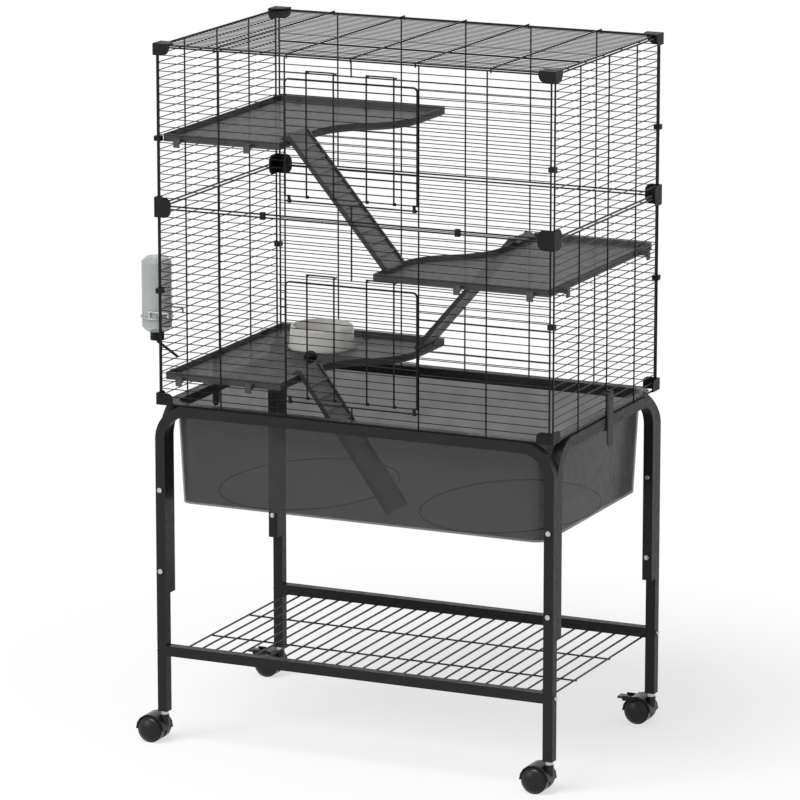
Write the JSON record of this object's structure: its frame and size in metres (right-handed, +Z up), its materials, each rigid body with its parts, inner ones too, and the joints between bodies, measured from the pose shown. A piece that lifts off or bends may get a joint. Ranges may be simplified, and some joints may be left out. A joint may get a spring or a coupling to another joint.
{
  "type": "small animal cage",
  "caption": "Tall black wire cage for small pets with shelves, ramps and drop-down doors over a deep tray, on a tube stand with casters.",
  "frame": {"origin": "on the floor under the middle of the cage", "axes": "+Z up, -Y towards the doors at the front, +X to the right seen from the front"},
  "size_m": [0.8625, 0.5302, 1.3183],
  "materials": {
    "coated_tube": "black powder coat, satin",
    "coated_wire": "black powder coat, satin",
    "plated_steel": "bright zinc plate",
    "tray_plastic": "smoky grey, see-through",
    "shelf_plastic": "dark grey, fine grain",
    "caster_plastic": "black, satin",
    "fitting_plastic": "black, satin",
    "bowl_plastic": "white, slightly see-through",
    "bottle_plastic": "clear frosted"
  },
  "bodies": {
    "cage_and_stand": {"base_corner_brackets": "fitting_plastic", "bottle_body": "bottle_plastic", "bottle_cap": "fitting_plastic", "bottle_holder": "plated_steel", "bottle_spout": "fitting_plastic", "caster_stems": "plated_steel", "deep_tray": "tray_plastic", "edge_clips": "fitting_plastic", "food_bowl": "bowl_plastic", "front_arch": "coated_tube", "front_lower_panel": "coated_wire", "front_upper_panel": "coated_wire", "left_lower_panel": "coated_wire", "left_side_arch": "coated_tube", "left_upper_panel": "coated_wire", "lower_ramp": "shelf_plastic", "lower_shelf": "shelf_plastic", "middle_ramp": "shelf_plastic", "middle_shelf": "shelf_plastic", "rail_bolts": "plated_steel", "rear_arch": "coated_tube", "rear_lower_panel": "coated_wire", "rear_upper_panel": "coated_wire", "right_lower_panel": "coated_wire", "right_side_arch": "coated_tube", "right_upper_panel": "coated_wire", "roof_corner_caps": "fitting_plastic", "roof_panel": "coated_wire", "round_knob": "fitting_plastic", "seam_corner_joiners": "fitting_plastic", "stand_bolts": "plated_steel", "stand_nuts": "plated_steel", "storage_shelf": "coated_tube", "upper_ramp": "shelf_plastic", "upper_shelf": "shelf_plastic"},
    "front_left_caster": {"front_left_caster_hood": "caster_plastic"},
    "front_left_wheels": {"front_left_caster_wheels": "caster_plastic"},
    "front_right_caster": {"front_right_caster_hood": "caster_plastic"},
    "front_right_wheels": {"front_right_caster_wheels": "caster_plastic"},
    "left_side_clip": {"left_side_clip": "shelf_plastic"},
    "lower_door": {"lower_door": "coated_wire", "lower_door_hinges": "coated_wire"},
    "lower_left_latch": {"lower_left_latch": "coated_wire"},
    "lower_right_latch": {"lower_right_latch": "coated_wire"},
    "rear_left_brake": {"rear_left_brake_lever": "caster_plastic"},
    "rear_left_caster": {"rear_left_caster_hood": "caster_plastic"},
    "rear_left_wheels": {"rear_left_caster_wheels": "caster_plastic"},
    "rear_right_brake": {"rear_right_brake_lever": "caster_plastic"},
    "rear_right_caster": {"rear_right_caster_hood": "caster_plastic"},
    "rear_right_wheels": {"rear_right_caster_wheels": "caster_plastic"},
    "right_side_clip": {"right_side_clip": "shelf_plastic"},
    "upper_door": {"upper_door": "coated_wire", "upper_door_hinges": "coated_wire"},
    "upper_left_latch": {"upper_left_latch": "coated_wire"},
    "upper_right_latch": {"upper_right_latch": "coated_wire"}
  },
  "joints": [
    {"name": "front_left_swivel", "type": "hinge", "parent": "cage_and_stand", "child": "front_left_caster", "pos_m": [-0.39, -0.2455, 0.04], "axis": [0, 0, 1], "continuous": true},
    {"name": "front_left_roll", "type": "hinge", "parent": "front_left_caster", "child": "front_left_wheels", "pos_m": [-0.412, -0.2455, 0.025], "axis": [0, 1, 0], "continuous": true},
    {"name": "front_right_swivel", "type": "hinge", "parent": "cage_and_stand", "child": "front_right_caster", "pos_m": [0.39, -0.2455, 0.04], "axis": [0, 0, 1], "continuous": true},
    {"name": "front_right_roll", "type": "hinge", "parent": "front_right_caster", "child": "front_right_wheels", "pos_m": [0.368, -0.2455, 0.025], "axis": [0, 1, 0], "continuous": true},
    {"name": "rear_left_swivel", "type": "hinge", "parent": "cage_and_stand", "child": "rear_left_caster", "pos_m": [-0.39, 0.2455, 0.04], "axis": [0, 0, 1], "continuous": true},
    {"name": "rear_left_roll", "type": "hinge", "parent": "rear_left_caster", "child": "rear_left_wheels", "pos_m": [-0.412, 0.2455, 0.025], "axis": [0, 1, 0], "continuous": true},
    {"name": "rear_right_swivel", "type": "hinge", "parent": "cage_and_stand", "child": "rear_right_caster", "pos_m": [0.39, 0.2455, 0.04], "axis": [0, 0, 1], "continuous": true},
    {"name": "rear_right_roll", "type": "hinge", "parent": "rear_right_caster", "child": "rear_right_wheels", "pos_m": [0.368, 0.2455, 0.025], "axis": [0, 1, 0], "continuous": true},
    {"name": "rear_left_brake_press", "type": "hinge", "parent": "rear_left_caster", "child": "rear_left_brake", "pos_m": [-0.439, 0.2455, 0.046], "axis": [0, -1, 0], "range_deg": [0, 25]},
    {"name": "rear_right_brake_press", "type": "hinge", "parent": "rear_right_caster", "child": "rear_right_brake", "pos_m": [0.341, 0.2455, 0.046], "axis": [0, -1, 0], "range_deg": [0, 25]},
    {"name": "lower_door_drop", "type": "hinge", "parent": "cage_and_stand", "child": "lower_door", "pos_m": [0, -0.2498, 0.6773], "axis": [1, 0, 0], "range_deg": [0, 120]},
    {"name": "lower_left_latch_pull", "type": "hinge", "parent": "lower_door", "child": "lower_left_latch", "pos_m": [0, -0.2538, 0.6873], "axis": [1, 0, 0], "range_deg": [0, 15]},
    {"name": "lower_right_latch_pull", "type": "hinge", "parent": "lower_door", "child": "lower_right_latch", "pos_m": [0, -0.2538, 0.6873], "axis": [1, 0, 0], "range_deg": [0, 15]},
    {"name": "upper_door_drop", "type": "hinge", "parent": "cage_and_stand", "child": "upper_door", "pos_m": [0, -0.2498, 1.0483], "axis": [1, 0, 0], "range_deg": [0, 120]},
    {"name": "upper_left_latch_pull", "type": "hinge", "parent": "upper_door", "child": "upper_left_latch", "pos_m": [0, -0.2538, 1.0583], "axis": [1, 0, 0], "range_deg": [0, 15]},
    {"name": "upper_right_latch_pull", "type": "hinge", "parent": "upper_door", "child": "upper_right_latch", "pos_m": [0, -0.2538, 1.0583], "axis": [1, 0, 0], "range_deg": [0, 15]},
    {"name": "left_clip_swing", "type": "hinge", "parent": "cage_and_stand", "child": "left_side_clip", "pos_m": [-0.392, 0, 0.6919], "axis": [0, 1, 0], "range_deg": [0, 50]},
    {"name": "right_clip_swing", "type": "hinge", "parent": "cage_and_stand", "child": "right_side_clip", "pos_m": [0.392, 0, 0.6919], "axis": [0, -1, 0], "range_deg": [0, 50]}
  ]
}
